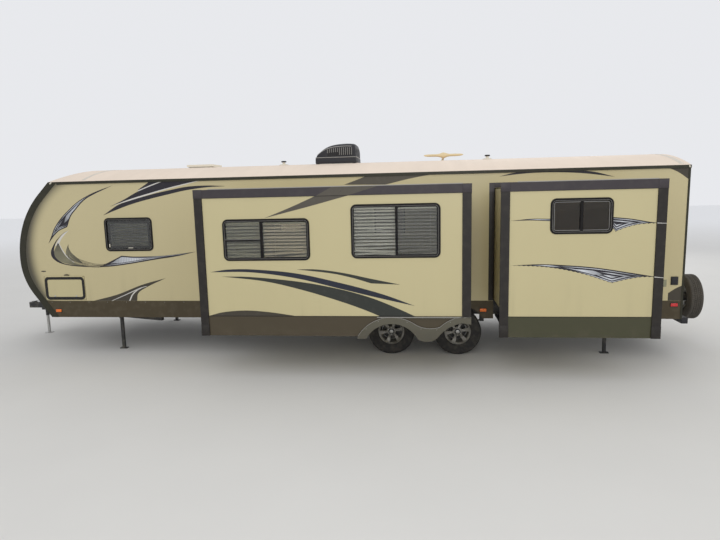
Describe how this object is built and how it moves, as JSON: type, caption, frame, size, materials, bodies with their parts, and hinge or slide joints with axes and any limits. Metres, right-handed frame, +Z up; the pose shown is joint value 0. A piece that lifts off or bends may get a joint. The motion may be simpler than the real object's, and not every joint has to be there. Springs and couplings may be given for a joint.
{
  "type": "travel caravan",
  "caption": "Travel caravan with a curved front, tandem wheels, bowed roof and two slide-out rooms on the road side, parked on its tongue jack.",
  "frame": {"origin": "middle of the bounding box's foot, on the ground, with both slide-out rooms run out", "axes": "+X points to the rear of the caravan, -Y to the road side where the slide-out rooms are, +Z up"},
  "size_m": [11.6106, 3.85, 3.2784],
  "materials": {
    "wall_siding": "smooth laminated panel, satin",
    "front_skin": "satin sheet",
    "roof_skin": "rubber membrane",
    "dark_trim": "satin",
    "skirt": "satin",
    "frame_steel": "semi-gloss",
    "deck_board": "woven underbelly sheet",
    "room_panel": "satin sheet",
    "window_trim": "satin",
    "pane": "tinted",
    "rim_alloy": "cast",
    "tyre": "tread",
    "zinc": "zinc plated",
    "black_plastic": "moulded",
    "cream_plastic": "moulded",
    "white_paint": "gloss",
    "lamp_lens": "moulded lens",
    "awning_cloth": "rolled vinyl cloth",
    "door_skin": "satin"
  },
  "bodies": {
    "trailer": {"road_wall": "wall_siding", "door_wall": "wall_siding", "front_cap": "front_skin", "rear_wall": "wall_siding", "roof": "roof_skin", "floor_deck": "deck_board", "skirts": "skirt", "edge_trims": "dark_trim", "coupler": "frame_steel", "jack_tube": "zinc", "axles": "frame_steel", "leaf_springs": "frame_steel", "window_frames": "window_trim", "window_glass": "pane", "ac_unit": "black_plastic", "roof_fittings": "cream_plastic", "bumper": "frame_steel", "spare_rim": "rim_alloy", "spare_tyre": "tyre", "chassis": "frame_steel", "gas_cylinders": "white_paint", "awning": "awning_cloth", "lamps": "lamp_lens", "service_fittings": "black_plastic", "grab_handle": "frame_steel"},
    "wheel_front_road": {"wheel_front_road_rim": "rim_alloy", "wheel_front_road_tyre": "tyre"},
    "wheel_rear_road": {"wheel_rear_road_rim": "rim_alloy", "wheel_rear_road_tyre": "tyre"},
    "wheel_front_door": {"wheel_front_door_rim": "rim_alloy", "wheel_front_door_tyre": "tyre"},
    "wheel_rear_door": {"wheel_rear_door_rim": "rim_alloy", "wheel_rear_door_tyre": "tyre"},
    "slide_1_room": {"slide_1_flange": "dark_trim", "slide_1_face": "wall_siding", "slide_1_window_frames": "window_trim", "slide_1_glass": "pane", "slide_1_ends": "wall_siding", "slide_1_decks": "room_panel", "slide_1_valance": "skirt"},
    "slide_2_room": {"slide_2_flange": "dark_trim", "slide_2_face": "wall_siding", "slide_2_window_frames": "window_trim", "slide_2_glass": "pane", "slide_2_ends": "wall_siding", "slide_2_decks": "room_panel", "slide_2_valance": "skirt"},
    "entry_door_leaf": {"entry_door": "door_skin", "entry_door_glass": "pane"},
    "baggage_door_road_body": {"baggage_door_road": "door_skin"},
    "baggage_door_near_body": {"baggage_door_near": "door_skin"},
    "entry_step_body": {"entry_step": "frame_steel"},
    "jack_leg_body": {"jack_leg": "zinc"},
    "vent_lid_body": {"vent_lid": "cream_plastic"},
    "antenna_mast_body": {"antenna_mast": "cream_plastic"},
    "antenna_head_body": {"antenna_head": "cream_plastic"},
    "stabiliser_front_road_body": {"stabiliser_front_road": "zinc"},
    "stabiliser_front_door_body": {"stabiliser_front_door": "zinc"},
    "stabiliser_rear_road_body": {"stabiliser_rear_road": "zinc"},
    "stabiliser_rear_door_body": {"stabiliser_rear_door": "zinc"}
  },
  "joints": [
    {"name": "wheel_front_road_spin", "type": "hinge", "parent": "trailer", "child": "wheel_front_road", "pos_m": [1.05375, -0.685, 0.352], "axis": [0, 1, 0], "continuous": true},
    {"name": "wheel_rear_road_spin", "type": "hinge", "parent": "trailer", "child": "wheel_rear_road", "pos_m": [2.05575, -0.685, 0.352], "axis": [0, 1, 0], "continuous": true},
    {"name": "wheel_front_door_spin", "type": "hinge", "parent": "trailer", "child": "wheel_front_door", "pos_m": [1.05375, 1.435, 0.352], "axis": [0, 1, 0], "continuous": true},
    {"name": "wheel_rear_door_spin", "type": "hinge", "parent": "trailer", "child": "wheel_rear_door", "pos_m": [2.05575, 1.435, 0.352], "axis": [0, 1, 0], "continuous": true},
    {"name": "slide_1_travel", "type": "slide", "parent": "trailer", "child": "slide_1_room", "axis": [0, 1, 0], "range_m": [0, 1.034]},
    {"name": "slide_2_travel", "type": "slide", "parent": "trailer", "child": "slide_2_room", "axis": [0, 1, 0], "range_m": [0, 1.034]},
    {"name": "entry_door_hinge", "type": "hinge", "parent": "trailer", "child": "entry_door_leaf", "pos_m": [-1.34825, 1.6033, 0.86], "axis": [0, 0, 1], "range_deg": [0, 170]},
    {"name": "baggage_door_road_hinge", "type": "hinge", "parent": "trailer", "child": "baggage_door_road_body", "pos_m": [-4.19075, -0.8533, 1.246], "axis": [-1, 0, 0], "range_deg": [0, 170]},
    {"name": "baggage_door_near_hinge", "type": "hinge", "parent": "trailer", "child": "baggage_door_near_body", "pos_m": [-4.19075, 1.6033, 1.246], "axis": [1, 0, 0], "range_deg": [0, 170]},
    {"name": "entry_step_travel", "type": "slide", "parent": "trailer", "child": "entry_step_body", "axis": [0, -1, 0], "range_m": [0, 0.3]},
    {"name": "jack_travel", "type": "slide", "parent": "trailer", "child": "jack_leg_body", "axis": [0, 0, 1], "range_m": [-0.05, 0.3]},
    {"name": "stabiliser_front_road_swing", "type": "hinge", "parent": "trailer", "child": "stabiliser_front_road_body", "pos_m": [-3.40525, -0.61, 0.545], "axis": [0, -1, 0], "range_deg": [0, 90]},
    {"name": "stabiliser_front_door_swing", "type": "hinge", "parent": "trailer", "child": "stabiliser_front_door_body", "pos_m": [-3.40525, 1.36, 0.545], "axis": [0, -1, 0], "range_deg": [0, 90]},
    {"name": "stabiliser_rear_road_swing", "type": "hinge", "parent": "trailer", "child": "stabiliser_rear_road_body", "pos_m": [4.23475, -0.61, 0.545], "axis": [0, 1, 0], "range_deg": [0, 90]},
    {"name": "stabiliser_rear_door_swing", "type": "hinge", "parent": "trailer", "child": "stabiliser_rear_door_body", "pos_m": [4.23475, 1.36, 0.545], "axis": [0, 1, 0], "range_deg": [0, 90]},
    {"name": "vent_lid_hinge", "type": "hinge", "parent": "trailer", "child": "vent_lid_body", "pos_m": [-1.99525, 0.375, 2.9683], "axis": [0, 1, 0], "range_deg": [0, 70]},
    {"name": "antenna_lift", "type": "hinge", "parent": "trailer", "child": "antenna_mast_body", "pos_m": [1.88975, 1.015, 2.97215], "axis": [-1, 0, 0], "range_deg": [0, 85]},
    {"name": "antenna_level", "type": "hinge", "parent": "antenna_mast_body", "child": "antenna_head_body", "pos_m": [1.88975, 0.375, 3.02], "axis": [-1, 0, 0], "range_deg": [-85, 0]}
  ],
  "couplings": [
    {"joint": "antenna_level", "follows": "antenna_lift", "ratio": -1}
  ]
}
